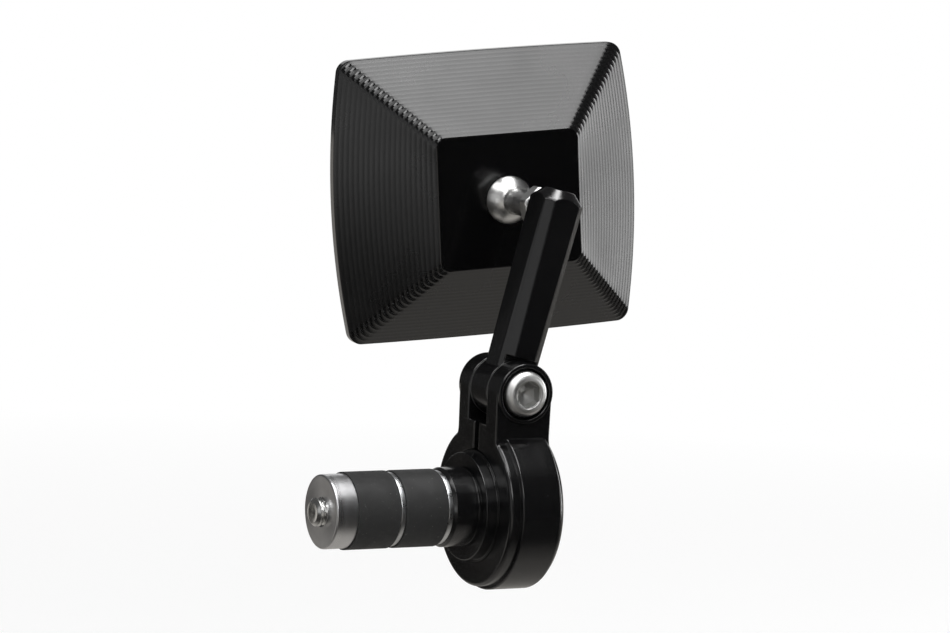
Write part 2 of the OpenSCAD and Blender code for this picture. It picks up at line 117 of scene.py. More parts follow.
def paper_node(kind, operation=None, **settings):
    """A node in the paper's material, with inputs by number or by name (underscores for spaces)."""
    node = tree.nodes.new(kind)
    if operation:
        node.operation = operation
    for label, value in settings.items():
        socket = node.inputs[int(label[1:])] if label[1:].isdigit() else node.inputs[label.replace("_", " ")]
        if hasattr(value, "is_output"):
            tree.links.new(value, socket)
        else:
            socket.default_value = value
    return node


spot = paper_node("ShaderNodeTexCoord").outputs["Object"]
off_patch = paper_node("ShaderNodeVectorMath", "DISTANCE", _0=spot, _1=patch_centre)
patch = paper_node(
    "ShaderNodeMapRange", Value=off_patch.outputs["Value"],
    From_Min=0.16, From_Max=0.26, To_Min=0.43, To_Max=gap,
)
from_part = paper_node("ShaderNodeVectorMath", "SUBTRACT", _0=spot, _1=(lit_point.x, lit_point.y, floor_z))
reach = paper_node("ShaderNodeVectorMath", "LENGTH", _0=from_part.outputs["Vector"])
parted = paper_node("ShaderNodeSeparateXYZ", Vector=from_part.outputs["Vector"])
bearing = paper_node("ShaderNodeMath", "ARCTAN2", _0=parted.outputs["Y"], _1=parted.outputs["X"])
turn_share = paper_node(
    "ShaderNodeMapRange", Value=bearing.outputs[0], From_Min=-math.pi, From_Max=math.pi,
)
fan = paper_node("ShaderNodeValToRGB", Fac=turn_share.outputs["Result"])
while len(fan.color_ramp.elements) < len(beams):
    fan.color_ramp.elements.new(1.0)
for stop, (degrees, level) in zip(fan.color_ramp.elements, beams):
    stop.position = (degrees + 180) / 360
    stop.color = (level, level, level, 1)
beams_start = paper_node(
    "ShaderNodeMapRange", Value=reach.outputs["Value"], From_Min=0.22, From_Max=0.36,
)
fanned = paper_node("ShaderNodeMath", "MULTIPLY", _0=fan.outputs["Color"], _1=beams_start.outputs["Result"])
painted_reflection_level = paper_node("ShaderNodeMath", "MAXIMUM", _0=patch.outputs["Result"], _1=fanned.outputs[0])
# Painted reflection: a glow that only gloss rays see, with no lamp behind it
painted_reflection_glow = paper_node("ShaderNodeEmission", Color=(1.0, 0.96, 0.90, 1), Strength=painted_reflection_level.outputs[0])
# Near the part the white is partly lamp light on the paper, so that the part's shadow falls there
glow_share, lamp_share = (
    paper_node(
        "ShaderNodeMapRange", Value=off_patch.outputs["Value"], To_Min=near, To_Max=far, **shadow_reach,
    )
    for near, far in ((0.64, 1.0), (0.4, 0.0))
)
white_glow = paper_node("ShaderNodeEmission", Strength=glow_share.outputs["Result"])
shaded = paper_node("ShaderNodeBsdfDiffuse", Color=lamp_share.outputs["Result"])
shown = paper_node("ShaderNodeAddShader", _0=white_glow.outputs[0], _1=shaded.outputs[0])
rays = paper_node("ShaderNodeLightPath")
for_gloss = paper_node(
    "ShaderNodeMixShader", _0=rays.outputs["Is Glossy Ray"], _1=shader.outputs[0], _2=painted_reflection_glow.outputs[0],
)
for_camera = paper_node(
    "ShaderNodeMixShader", _0=rays.outputs["Is Camera Ray"], _1=for_gloss.outputs[0], _2=shown.outputs[0],
)
tree.links.new(for_camera.outputs[0], tree.nodes["Material Output"].inputs["Surface"])

floor = swept_sheet("floor", [(0.05, floor_z), (0.6, floor_z), (floor_r, floor_z)], paper)
cove = [
    (floor_r + cove_r * math.sin(math.radians(t)), floor_z + cove_r * (1 - math.cos(math.radians(t))))
    for t in range(0, 91, 6)
]
wall = swept_sheet("wall", cove + [(floor_r + cove_r, wall_top)], paper)
wall.visible_glossy = False
wall.visible_diffuse = False
wall.visible_shadow = False


def soft_box(name, towards, across, distance, width, height, radiance):
    """A rectangular lamp of an even radiance: its width runs across, and it faces the part."""
    lamp = bpy.data.lights.new(name, "AREA")
    lamp.shape = "RECTANGLE"
    lamp.size = width
    lamp.size_y = height
    lamp.energy = radiance * math.pi * width * height
    box = bpy.data.objects.new(name, lamp)
    scene.collection.objects.link(box)
    away = Vector(towards).normalized()
    across = (Vector(across) - away * away.dot(across)).normalized()
    turn = Matrix((across, away.cross(across), away)).transposed().to_4x4()
    box.matrix_world = Matrix.Translation(lit_point + away * distance) @ turn
    box.visible_camera = False
    return box


# Overhead, with a hotter patch in the middle; to the right, low and close; to the left, dim and
# down to the floor, with a strip that picks out the edges; one in front and two high on the left,
# for the steel and the upper faces; a low one at the front right; and a broad one behind, for
# the glass
soft_box("top_box", (0.10, -0.25, 1), (1, 0, 0), 1.2, 0.66, 1.05, 4.6)
soft_box("top_spot", (0.235, 0.03, 1), (1, 0, 0), 1.15, 0.20, 0.20, 9.0)
soft_box("right_box", (0.985, 0.175, 0.05), (-0.175, 0.985, 0), 0.75, 0.32, 0.42, 3.1)
soft_box("left_box", (-0.90, -0.36, 0.12), (0.36, -0.90, 0), 0.75, 0.60, 0.42, 0.44)
soft_box("left_strip", (-0.87, -0.47, -0.10), (0.47, -0.87, 0), 0.70, 0.10, 0.14, 1.3)
soft_box("front_box", (-0.28, -0.86, 0.42), (0.86, -0.28, 0), 1.05, 0.40, 0.40, 3.2)
soft_box("high_left_box", (-0.40, -0.50, 0.77), (0.77, 0, 0.40), 1.2, 0.40, 0.40, 5.5)
soft_box("upper_left_box", (-0.62, -0.10, 0.78), (0, 1, 0), 1.25, 0.70, 0.55, 2.6)
soft_box("right_front_box", (0.85, -0.53, 0.05), (0.53, 0.85, 0), 0.90, 0.28, 0.40, 2.6)
soft_box("rear_box", (0.50, 1.0, 0.30), (1, -0.50, 0), 1.8, 1.5, 1.1, 0.7)

# A black card that only gloss rays see: it casts no shadow and blocks no lamp, a painted dark reflection on
# the polished faces
card_black = new_material("card_black", (0.01, 0.01, 0.01), 0.9)[0]
card_half, card_top = 0.37, Vector((0, 0, 0.8))
card_towards = Vector((0.47, -0.88, 0)).normalized()
card_side = Vector((0.88, 0.47, 0)).normalized()
card_foot = Vector((lit_point.x, lit_point.y, floor_z)) + card_towards * 0.8
card_mesh = bpy.data.meshes.new("dark_card")
card_mesh.from_pydata(
    [
        card_foot - card_side * card_half, card_foot + card_side * card_half,
        card_foot + card_side * card_half + card_top, card_foot - card_side * card_half + card_top,
    ],
    [], [(0, 1, 2, 3)],
)
card_mesh.materials.append(card_black)
dark_card = bpy.data.objects.new("dark_card", card_mesh)
scene.collection.objects.link(dark_card)
dark_card.visible_camera = False
dark_card.visible_shadow = False
dark_card.visible_diffuse = False

world = bpy.data.worlds.new("studio")
scene.world = world
world.use_nodes = True
sky = world.node_tree
seen_by = sky.nodes.new("ShaderNodeLightPath")
studio_dim = sky.nodes["Background"]
studio_dim.inputs["Color"].default_value = (1, 1, 1, 1)
studio_dim.inputs["Strength"].default_value = 0.08
studio_white = sky.nodes.new("ShaderNodeBackground")
studio_white.inputs["Strength"].default_value = 0.95
studio = sky.nodes.new("ShaderNodeMixShader")
sky.links.new(seen_by.outputs["Is Camera Ray"], studio.inputs["Fac"])
sky.links.new(studio_dim.outputs[0], studio.inputs[1])
sky.links.new(studio_white.outputs[0], studio.inputs[2])
sky.links.new(studio.outputs[0], sky.nodes["World Output"].inputs["Surface"])


# ---- Bar fitting ----
# The fitting that centres in the handlebar tube and carries the ring. It is turned from one
# aluminium bar, bored for the long screw and anodised black, with every edge lightly broken.
MM = 0.001


def mesh_object(name, points, faces, place, body):
    """An object in a frame of its own, which rides on a body."""
    mesh = bpy.data.meshes.new(name)
    mesh.from_pydata([tuple(p) for p in points], [], faces)
    mesh.update()
    piece = bpy.data.objects.new(name, mesh)
    scene.collection.objects.link(piece)
    piece.matrix_world = place
    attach(piece, body)
    return piece


def face_smoothly(piece, sharp_degrees=32):
    """Smooth shading between shallow faces, with the flats kept flat."""
    piece.data.polygons.foreach_set("use_smooth", [True] * len(piece.data.polygons))
    piece.data.set_sharp_from_angle(angle=math.radians(sharp_degrees))
    weighted = piece.modifiers.new("weighted normals", "WEIGHTED_NORMAL")
    weighted.keep_sharp = True
    weighted.weight = 100
    return piece


def lofted(name, rings, place, body, closed=False):
    """A solid over rings of as many points each, given in millimetres. Closed joins the last ring
    to the first, and otherwise a fan closes each end."""
    rings = np.asarray(rings, float) * MM
    count, around = rings.shape[:2]
    points = list(rings.reshape(-1, 3))
    faces = []
    steps = count if closed else count - 1
    for k in range(steps):
        a, b = k * around, ((k + 1) % count) * around
        for i in range(around):
            j = (i + 1) % around
            faces.append((a + i, a + j, b + j, b + i))
    if not closed:
        for ring, turn in ((0, -1), (count - 1, 1)):
            middle = len(points)
            points.append(rings[ring].mean(axis=0))
            for i in range(around):
                pair = (ring * around + i, ring * around + (i + 1) % around)
                faces.append((middle, *pair[::turn]))
    piece = mesh_object(name, points, faces, place, body)
    tidy = bmesh.new()
    tidy.from_mesh(piece.data)
    bmesh.ops.recalc_face_normals(tidy, faces=tidy.faces)
    tidy.to_mesh(piece.data)
    tidy.free()
    return piece


def eased_line(section, rounds, closed=True, steps=4):
    """The points of a section with each corner rounded over its own radius, in millimetres."""
    line = []
    count = len(section)
    for k, here in enumerate(section):
        here = Vector(here)
        radius = rounds[k] if isinstance(rounds, (list, tuple)) else rounds
        if radius == 0 or (not closed and k in (0, count - 1)):
            line.append(here)
            continue
        before = (Vector(section[k - 1]) - here).normalized()
        after = (Vector(section[(k + 1) % count]) - here).normalized()
        half = before.angle(after) / 2
        if half > math.radians(89):
            line.append(here)
            continue
        back = radius / math.tan(half)
        middle = here + (before + after).normalized() * (radius / math.sin(half))
        start = here + before * back - middle
        sweep = math.pi - 2 * half
        turn = 1 if start.x * (here - middle).y - start.y * (here - middle).x > 0 else -1
        for s in range(steps + 1):
            t = turn * sweep * s / steps
            line.append(middle + Vector((
                start.x * math.cos(t) - start.y * math.sin(t), start.x * math.sin(t) + start.y * math.cos(t)
            )))
    return [tuple(p) for p in line]


def ring_at(height, radius, around):
    """One ring about the local Z axis. Radius is a number or a number for each angle."""
    angles = np.linspace(0, 2 * np.pi, around, endpoint=False)
    radius = np.broadcast_to(radius, (around,))
    return np.stack([radius * np.cos(angles), radius * np.sin(angles), np.full(around, height)], 1)


def turned(name, section, place, body, around=96, closed=True):
    """A piece from the lathe: its half section as (height, radius) points, about the local Z."""
    rings = [ring_at(height, radius, around) for height, radius in section]
    return face_smoothly(lofted(name, rings, place, body, closed))


def new_group(name, inputs, outputs):
    """A shader node group with named number or vector sockets."""
    group = bpy.data.node_groups.new(name, "ShaderNodeTree")
    kinds = {"value": "NodeSocketFloat", "vector": "NodeSocketVector", "colour": "NodeSocketColor"}
    for label, kind, default in inputs:
        socket = group.interface.new_socket(label, in_out="INPUT", socket_type=kinds[kind])
        if default is not None:
            socket.default_value = default
    for label, kind in outputs:
        group.interface.new_socket(label, in_out="OUTPUT", socket_type=kinds[kind])
    start = group.nodes.new("NodeGroupInput")
    end = group.nodes.new("NodeGroupOutput")
    return group, start, end


def math_node(tree, operation, first, second=None, third=None):
    """A Math node on sockets or numbers; returns its output."""
    node = tree.nodes.new("ShaderNodeMath")
    node.operation = operation
    for socket, value in zip(node.inputs, (first, second, third)):
        if value is None:
            continue
        if isinstance(value, (int, float)):
            socket.default_value = value
        else:
            tree.links.new(value, socket)
    return node.outputs[0]


def placed(tree, group, **values):
    """A group's node in a material, with its inputs set; underscores stand for spaces."""
    node = tree.nodes.new("ShaderNodeGroup")
    node.node_tree = group
    for label, value in values.items():
        node.inputs[label.replace("_", " ")].default_value = value
    return node


# Lines that a lathe leaves: they run round the local Z axis, along the sides and over the faces
lathe_lines, start, end = new_group(
    "lathe_lines",
    [("Lines per metre", "value", 9000.0), ("Seed", "value", 0.0)],
    [("Height", "value"), ("Drift", "value")],
)
where = lathe_lines.nodes.new("ShaderNodeTexCoord")
split = lathe_lines.nodes.new("ShaderNodeSeparateXYZ")
lathe_lines.links.new(where.outputs["Object"], split.inputs[0])
squared = math_node(
    lathe_lines, "ADD",
    math_node(lathe_lines, "MULTIPLY", split.outputs["X"], split.outputs["X"]),
    math_node(lathe_lines, "MULTIPLY", split.outputs["Y"], split.outputs["Y"]),
)
along = math_node(
    lathe_lines, "ADD", math_node(lathe_lines, "SQRT", squared), split.outputs["Z"]
)
scaled = math_node(
    lathe_lines, "ADD",
    math_node(lathe_lines, "MULTIPLY", along, start.outputs["Lines per metre"]), start.outputs["Seed"],
)
lines = lathe_lines.nodes.new("ShaderNodeTexNoise")
lines.noise_dimensions = "1D"
lines.inputs["Scale"].default_value = 1.0
lines.inputs["Detail"].default_value = 3.0
lines.inputs["Roughness"].default_value = 0.6
lathe_lines.links.new(scaled, lines.inputs["W"])
slow = lathe_lines.nodes.new("ShaderNodeTexNoise")
slow.noise_dimensions = "1D"
slow.inputs["Detail"].default_value = 2.0
slow.inputs["Scale"].default_value = 1.0
lathe_lines.links.new(math_node(lathe_lines, "MULTIPLY", scaled, 0.08), slow.inputs["W"])
lathe_lines.links.new(lines.outputs["Fac"], end.inputs["Height"])
lathe_lines.links.new(slow.outputs["Fac"], end.inputs["Drift"])

# Handling: faint smears and a few specks of dust, which change the gloss more than the colour
handling, start, end = new_group(
    "handling",
    [("Smear size", "value", 90.0), ("Dust size", "value", 2600.0)],
    [("Smear", "value"), ("Dust", "value")],
)
where = handling.nodes.new("ShaderNodeTexCoord")
smear = handling.nodes.new("ShaderNodeTexNoise")
smear.inputs["Detail"].default_value = 4.0
smear.inputs["Roughness"].default_value = 0.55
smear.inputs["Distortion"].default_value = 0.6
handling.links.new(where.outputs["Object"], smear.inputs["Vector"])
handling.links.new(start.outputs["Smear size"], smear.inputs["Scale"])
spread = handling.nodes.new("ShaderNodeMapRange")
spread.inputs["From Min"].default_value = 0.35
spread.inputs["From Max"].default_value = 0.7
handling.links.new(smear.outputs["Fac"], spread.inputs["Value"])
speck = handling.nodes.new("ShaderNodeTexNoise")
speck.inputs["Detail"].default_value = 2.0
handling.links.new(where.outputs["Object"], speck.inputs["Vector"])
handling.links.new(start.outputs["Dust size"], speck.inputs["Scale"])
few = handling.nodes.new("ShaderNodeMapRange")
few.inputs["From Min"].default_value = 0.68
few.inputs["From Max"].default_value = 0.78
handling.links.new(speck.outputs["Fac"], few.inputs["Value"])
handling.links.new(spread.outputs["Result"], end.inputs["Smear"])
handling.links.new(few.outputs["Result"], end.inputs["Dust"])


def between(tree, value, low, high):
    """Maps a value that runs from 0 to 1 onto low to high."""
    node = tree.nodes.new("ShaderNodeMapRange")
    node.inputs["To Min"].default_value = low
    node.inputs["To Max"].default_value = high
    tree.links.new(value, node.inputs["Value"])
    return node.outputs["Result"]


def bumped(tree, shader, height, distance, strength=1.0):
    """Feeds a height through a Bump node into the shader's normal."""
    bump = tree.nodes.new("ShaderNodeBump")
    bump.inputs["Distance"].default_value = distance
    bump.inputs["Strength"].default_value = strength
    tree.links.new(height, bump.inputs["Height"])
    tree.links.new(bump.outputs["Normal"], shader.inputs["Normal"])
    return bump


def colour_mix(tree, factor, first, second):
    """A colour between two, by a factor socket; returns its output."""
    node = tree.nodes.new("ShaderNodeMix")
    node.data_type = "RGBA"
    colours = [s for s in node.inputs if s.type == "RGBA"]
    for socket, value in zip(colours, (first, second)):
        if isinstance(value, tuple):
            socket.default_value = (*value, 1)
        else:
            tree.links.new(value, socket)
    tree.links.new(factor, [s for s in node.inputs if s.type == "VALUE"][0])
    return [s for s in node.outputs if s.type == "RGBA"][0]


def black_turned(name, lines_per_metre, seed, depth):
    """Black anodised aluminium off the lathe."""
    material, tree, shader = new_material(name, (0.004, 0.004, 0.0043), 0.16, 0.0, 1.6)
    marks = placed(tree, lathe_lines, Lines_per_metre=lines_per_metre, Seed=seed)
    touch = placed(tree, handling, Smear_size=70.0, Dust_size=2400.0)
    tree.links.new(
        between(tree, math_node(
            tree, "ADD", math_node(tree, "MULTIPLY", marks.outputs["Drift"], 0.5),
            math_node(tree, "MULTIPLY", touch.outputs["Smear"], 0.5),
        ), 0.12, 0.24),
        shader.inputs["Roughness"],
    )
    tree.links.new(
        colour_mix(tree, touch.outputs["Dust"], (0.004, 0.004, 0.0043), (0.03, 0.03, 0.03)),
        shader.inputs["Base Color"],
    )
    bumped(tree, shader, marks.outputs["Height"], depth)
    return material


bar_axis = Matrix.Rotation(math.radians(90), 4, "Y")
fitting_black = black_turned("fitting_black", 7000.0, 3.0, 2e-6)
bar_fitting = turned(
    "turned_bar_fitting",
    eased_line([
        (-6, 3.2), (-6, 7.9), (-5.4, 8.5), (-0.7, 8.5), (-0.7, 8.2), (0, 8.2), (0, 11.5), (2.6, 11.5),
        (2.6, 12), (15.7, 12), (15.7, 13.5), (16.6, 13.5), (17.2, 12.9), (17.2, 5.4), (9.0, 5.4), (9.0, 3.2),
    ], [0.2, 0.1, 0.1, 0.08, 0.08, 0.1, 0.2, 0.08, 0.08, 0.1, 0.15, 0.12, 0.12, 0.25, 0.15, 0.1]),
    bar_axis, "fitting", around=144,
)
bar_fitting.data.materials.append(fitting_black)
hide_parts("bar_fitting")


# ---- Sleeve washers ----
# Two zinc plated washers hold the outer rubber sleeve square. They are punched from sheet, so
# one edge is rolled over and the other is crisp.
def plated_steel(name, colour, seed):
    """Bright zinc plating: pale, faintly cloudy, with soft spangles."""
    material, tree, shader = new_material(name, colour, 0.3, 1.0)
    touch = placed(tree, handling, Smear_size=420.0, Dust_size=3000.0)
    marks = placed(tree, lathe_lines, Lines_per_metre=3500.0, Seed=seed)
    tree.links.new(between(tree, touch.outputs["Smear"], 0.24, 0.42), shader.inputs["Roughness"])
    tree.links.new(
        colour_mix(tree, touch.outputs["Smear"], colour, tuple(c * 0.82 for c in colour)),
        shader.inputs["Base Color"],
    )
    bumped(tree, shader, marks.outputs["Height"], 3e-6)
    return material


zinc = plated_steel("zinc_plating", (0.60, 0.61, 0.62), 11.0)
for node_name, start_x in (("sleeve_washer", -7.2), ("sleeve_spacer", -18.4)):
    washer = turned(
        "punched_" + node_name,
        eased_line(
            [(start_x, 3.2), (start_x, 7.9), (start_x + 1.2, 7.9), (start_x + 1.2, 3.2)],
            [0.1, 0.35, 0.12, 0.3],
        ),
        bar_axis, "fitting",
    )
    washer.data.materials.append(zinc)
    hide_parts(node_name)


# ---- Rubber sleeves ----
# Two moulded rubber sleeves swell in the tube when the screw squeezes them. The mould leaves a
# thin parting line along each side, and the inner one opens into a cone for the wedge nut.
rubber, tree, shader = new_material("moulded_rubber", (0.02, 0.02, 0.02), 0.7, 0.0, 1.5)
touch = placed(tree, handling, Smear_size=160.0, Dust_size=1800.0)
pores = tree.nodes.new("ShaderNodeTexNoise")
pores.inputs["Scale"].default_value = 3200.0
pores.inputs["Detail"].default_value = 3.0
spot = tree.nodes.new("ShaderNodeTexCoord")
tree.links.new(spot.outputs["Object"], pores.inputs["Vector"])
tree.links.new(between(tree, touch.outputs["Smear"], 0.58, 0.8), shader.inputs["Roughness"])
tree.links.new(
    colour_mix(tree, touch.outputs["Dust"], (0.018, 0.018, 0.018), (0.09, 0.088, 0.085)),
    shader.inputs["Base Color"],
)
bumped(tree, shader, pores.outputs["Fac"], 3e-5, 0.6)

seam_width = math.radians(1.6)
sleeve_around = 144
sleeve_angles = np.linspace(0, 2 * np.pi, sleeve_around, endpoint=False)
off_seam = np.minimum(np.abs(np.sin(sleeve_angles)) / np.sin(seam_width), 1)
parting_line = 0.05 * (1 - off_seam)
for node_name, section in (
    ("outer_sleeve", [(-17.2, 3.6), (-17.2, 8.25), (-7.2, 8.25), (-7.2, 3.6)]),
    (
        "inner_sleeve",
        [(-28.4, 7.9), (-28.4, 8.25), (-18.4, 8.25), (-18.4, 3.6), (-23.4, 3.6), (-23.4, 4.9)],
    ),
):
    line = eased_line(section, 0.35 if node_name == "outer_sleeve" else [0.05, 0.08, 0.35, 0.2, 0.1, 0.1])
    rings = [
        ring_at(height, radius + (parting_line if radius > 8.2 else 0), sleeve_around)
        for height, radius in line
    ]
    sleeve = face_smoothly(lofted("moulded_" + node_name, rings, bar_axis, "fitting", True))
    sleeve.data.materials.append(rubber)
    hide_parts(node_name)


# ---- Wedge nut ----
# A threaded cone of plain aluminium that the screw draws into the inner sleeve to spread it. It
# is turned and left uncoated, with a thread in its bore.
def bare_turned(name, colour, lines_per_metre, seed, roughness, depth, stretch=0.5):
    """Uncoated metal off the lathe, with bright and dull bands of tool marks."""
    material, tree, shader = new_material(name, colour, roughness, 1.0)
    shader.inputs["Anisotropic"].default_value = stretch
    tangent = tree.nodes.new("ShaderNodeTangent")
    tangent.direction_type = "RADIAL"
    tangent.axis = "Z"
    tree.links.new(tangent.outputs[0], shader.inputs["Tangent"])
    marks = placed(tree, lathe_lines, Lines_per_metre=lines_per_metre, Seed=seed)
    touch = placed(tree, handling, Smear_size=150.0, Dust_size=2600.0)
    tree.links.new(
        between(tree, marks.outputs["Drift"], roughness * 0.75, roughness * 1.35), shader.inputs["Roughness"]
    )
    tree.links.new(
        colour_mix(tree, touch.outputs["Smear"], colour, tuple(c * 0.86 for c in colour)),
        shader.inputs["Base Color"],
    )
    bumped(tree, shader, marks.outputs["Height"], depth)
    return material


plain_aluminium = bare_turned("plain_aluminium", (0.72, 0.72, 0.73), 6000.0, 5.0, 0.28, 3e-6)
wedge_nut = turned(
    "turned_wedge_nut",
    eased_line(
        [(-33.4, 3.0), (-33.4, 7.9), (-28.4, 7.9), (-23.4, 4.9), (-23.4, 3.0)], [0.3, 0.4, 0.1, 0.15, 0.1],
    ),
    bar_axis, "fitting",
)
wedge_nut.data.materials.append(plain_aluminium)
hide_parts("wedge_nut")


# ---- Expander screw ----
# A long stainless cap screw that squeezes the sleeves. Its head is turned with a rounded edge
# and a broached hexagon socket, and its rolled thread shows past the wedge nut.
def polygon_radius(flat, sides, around, turn=0.0):
    """Radius of a polygon by angle, from the distance of its flats."""
    angles = np.linspace(0, 2 * np.pi, around, endpoint=False) + turn
    sector = 2 * np.pi / sides
    return flat / np.cos((angles + sector / 2) % sector - sector / 2)


def thread_rings(low, high, crest, depth, pitch, around, steps=8):
    """Rings of a rolled thread from low to high, which fades out over half a pitch at each end."""
    angles = np.linspace(0, 2 * np.pi, around, endpoint=False) / (2 * np.pi)
    count = max(2, int((high - low) / pitch * steps))
    rings = []
    for k in range(count + 1):
        z = low + (high - low) * k / count
        phase = (z / pitch - angles) % 1
        flank = np.clip(np.abs(phase - 0.5) * 2.6 - 0.2, 0, 1)
        fade = min(1, (z - low) / (pitch * 0.5), (high - z) / (pitch * 0.5))
        rings.append(ring_at(z, crest - depth * (1 - flank) * max(fade, 0), around))
    return rings


def socket_rings(top, floor, key, mouth, around):
    """Rings of a hexagon socket, from its round mouth down to the point of its drill."""
    hexagon = polygon_radius(key / 2, 6, around)
    return [
        ring_at(top, mouth, around),
        ring_at(top - 0.12, np.minimum(mouth - 0.02, hexagon + 0.03), around),
        ring_at(top - 0.35, hexagon, around),
        ring_at(floor + 0.25, hexagon, around),
        ring_at(floor + 0.05, hexagon - 0.12, around),
        ring_at(floor, np.minimum(hexagon - 0.35, key / 2 - 0.15), around),
        ring_at(floor - 0.5, 0.9, around),
        ring_at(floor - 0.8, 0.15, around),
    ]


SOCKET_REACH = 3.02
# Partly real, a duller broached finish with dust; its darker colour is painted shade in the socket's recess
socket_steel_painted_shade, tree, shader = new_material("broached_socket_painted_shade", (0.5, 0.5, 0.49), 0.42, 1.0)
touch = placed(tree, handling, Smear_size=200.0, Dust_size=2600.0)
tree.links.new(between(tree, touch.outputs["Smear"], 0.36, 0.5), shader.inputs["Roughness"])
tree.links.new(
    colour_mix(tree, touch.outputs["Dust"], (0.5, 0.5, 0.49), (0.3, 0.29, 0.27)),
    shader.inputs["Base Color"],
)


def paint_socket_shade(screw, floor):
    """Gives the faces of a screw's socket, which starts above the floor, the broached steel with its painted
    shade.
    """
    screw.data.materials.append(socket_steel_painted_shade)
    for face in screw.data.polygons:
        inside = math.hypot(face.center.x, face.center.y) < SOCKET_REACH * MM and face.center.z > floor * MM
        face.material_index = int(inside)


stainless = bare_turned("turned_stainless", (0.75, 0.75, 0.74), 8000.0, 21.0, 0.2, 3e-6)
around = 96
rings = [
    ring_at(-35.4, 1.2, around), ring_at(-35.4, 2.25, around), ring_at(-35.35, 2.4, around),
    ring_at(-34.9, 2.85, around),
]
rings += thread_rings(-34.8, -21.0, 3.0, 0.45, 1.0, around)
rings += [ring_at(-20.8, 2.98, around), ring_at(10.2, 2.98, around), ring_at(10.38, 3.1, around)]
rings += [
    ring_at(height, radius, around) for height, radius in
    eased_line([(10.4, 3.2), (10.4, 5), (16.4, 5), (16.4, 3.05)], [0, 0.2, 0.6, 0.05], closed=False, steps=6)
]
rings += socket_rings(16.36, 12.1, 5, 3.0, around)
expander_screw = face_smoothly(
    lofted("rolled_expander_screw", rings, bar_axis, "fitting")
)
expander_screw.data.materials.append(stainless)
paint_socket_shade(expander_screw, 11.2)
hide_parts("expander_screw")


# ---- Spring washer ----
# A split zinc plated washer under the long screw's head, rolled from square wire.
def keep_node(name, material, edge=0.08):
    """A CAD node that stays as it is: it gets its material and a modifier that breaks its edges."""
    node = nodes[name]
    node.data.materials.clear()
    node.data.materials.append(material)
    broken = node.modifiers.new("broken edge", "BEVEL")
    broken.width = edge * MM
    broken.segments = 2
    broken.limit_method = "ANGLE"
    broken.angle_limit = math.radians(40)
    return node


keep_node("spring_washer", zinc)


# ---- Ring clamp ----
# A split ring with two ears, milled from aluminium and anodised black. It closes on the
# fitting's journal and pinches the stalk when its one screw is tightened.
def broken_edges(name, node_name, width, place, body, segments=3, sharp_degrees=24):
    """A copy of a CAD node with its machined edges broken by a small round, in a frame of its own."""
    work = bmesh.new()
    work.from_mesh(nodes[node_name].data)
    bmesh.ops.remove_doubles(work, verts=work.verts, dist=2e-6)
    bmesh.ops.dissolve_limit(
        work, angle_limit=math.radians(0.4), use_dissolve_boundaries=False,
        verts=work.verts, edges=work.edges, delimit={"NORMAL"},
    )
    crisp = [e for e in work.edges if e.is_manifold and e.calc_face_angle(0) > math.radians(sharp_degrees)]
    crisp = [e for e in crisp if e.is_convex]
    bmesh.ops.bevel(
        work, geom=crisp, offset=width * MM, offset_type="OFFSET", segments=segments, profile=0.5,
        affect="EDGES", clamp_overlap=False, miter_outer="ARC",
    )
    bmesh.ops.transform(work, matrix=place.inverted(), verts=work.verts)
    mesh = bpy.data.meshes.new(name)
    work.to_mesh(mesh)
    work.free()
    piece = bpy.data.objects.new(name, mesh)
    scene.collection.objects.link(piece)
    piece.matrix_world = place
    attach(piece, body)
    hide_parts(node_name)
    return face_smoothly(piece, 35)


clamp_black = black_turned("clamp_black", 5200.0, 17.0, 2e-6)
ring_clamp = broken_edges("milled_ring_clamp", "ring_clamp", 0.35, bar_axis, "clamp")
ring_clamp.data.materials.append(clamp_black)


# ---- Clamp screw ----
# A stainless button head screw with a hexagon socket. It crosses both ears and the stalk's
# tongue, threads into the rear ear, and sits in a spotface in the front one.
pivot = Vector((9.15, 0, 25.2)) * MM
screw_place = Matrix.Translation(pivot) @ Matrix.Rotation(math.radians(90), 4, "X")
screw_steel = bare_turned("clamp_screw_steel", (0.80, 0.80, 0.79), 6500.0, 33.0, 0.38, 4e-6)
around = 120
rings = [ring_at(-8.2, 1.2, around), ring_at(-8.2, 2.3, around), ring_at(-7.7, 2.85, around)]
rings += thread_rings(-7.6, -3.6, 3.0, 0.45, 1.0, around)
rings += [ring_at(-3.5, 2.98, around), ring_at(6.5, 2.98, around), ring_at(6.68, 3.1, around)]
rings += [
    ring_at(height, radius, around) for height, radius in
    eased_line(
        [(6.7, 3.2), (6.7, 5), (10.7, 5), (10.7, 3.05)], [0, 0.15, 1.85, 0.08], closed=False, steps=10
    )
]
rings += socket_rings(10.66, 8.4, 5, 3.0, around)
clamp_screw = face_smoothly(lofted("button_clamp_screw", rings, screw_place, "clamp"))
clamp_screw.data.materials.append(screw_steel)
paint_socket_shade(clamp_screw, 7.5)
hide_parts("clamp_screw")


# ---- Friction washers ----
# Two thin acetal washers let the tongue turn between the ears without wearing the anodising.
acetal, tree, shader = new_material("black_acetal", (0.03, 0.03, 0.03), 0.42, 0.0, 1.48)
touch = placed(tree, handling, Smear_size=300.0, Dust_size=2600.0)
marks = placed(tree, lathe_lines, Lines_per_metre=4000.0, Seed=41.0)
tree.links.new(between(tree, touch.outputs["Smear"], 0.36, 0.5), shader.inputs["Roughness"])
bumped(tree, shader, marks.outputs["Height"], 4e-6)
washer_place = Matrix.Translation(pivot) @ Matrix.Rotation(math.radians(-90), 4, "X")
for node_name, low in (("front_friction_washer", -4.05), ("rear_friction_washer", 3.55)):
    washer = turned(
        "punched_" + node_name,
        eased_line([(low, 3.08), (low, 6.4), (low + 0.5, 6.4), (low + 0.5, 3.08)], 0.12, steps=3),
        washer_place, "clamp",
    )
    washer.data.materials.append(acetal)
    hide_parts(node_name)


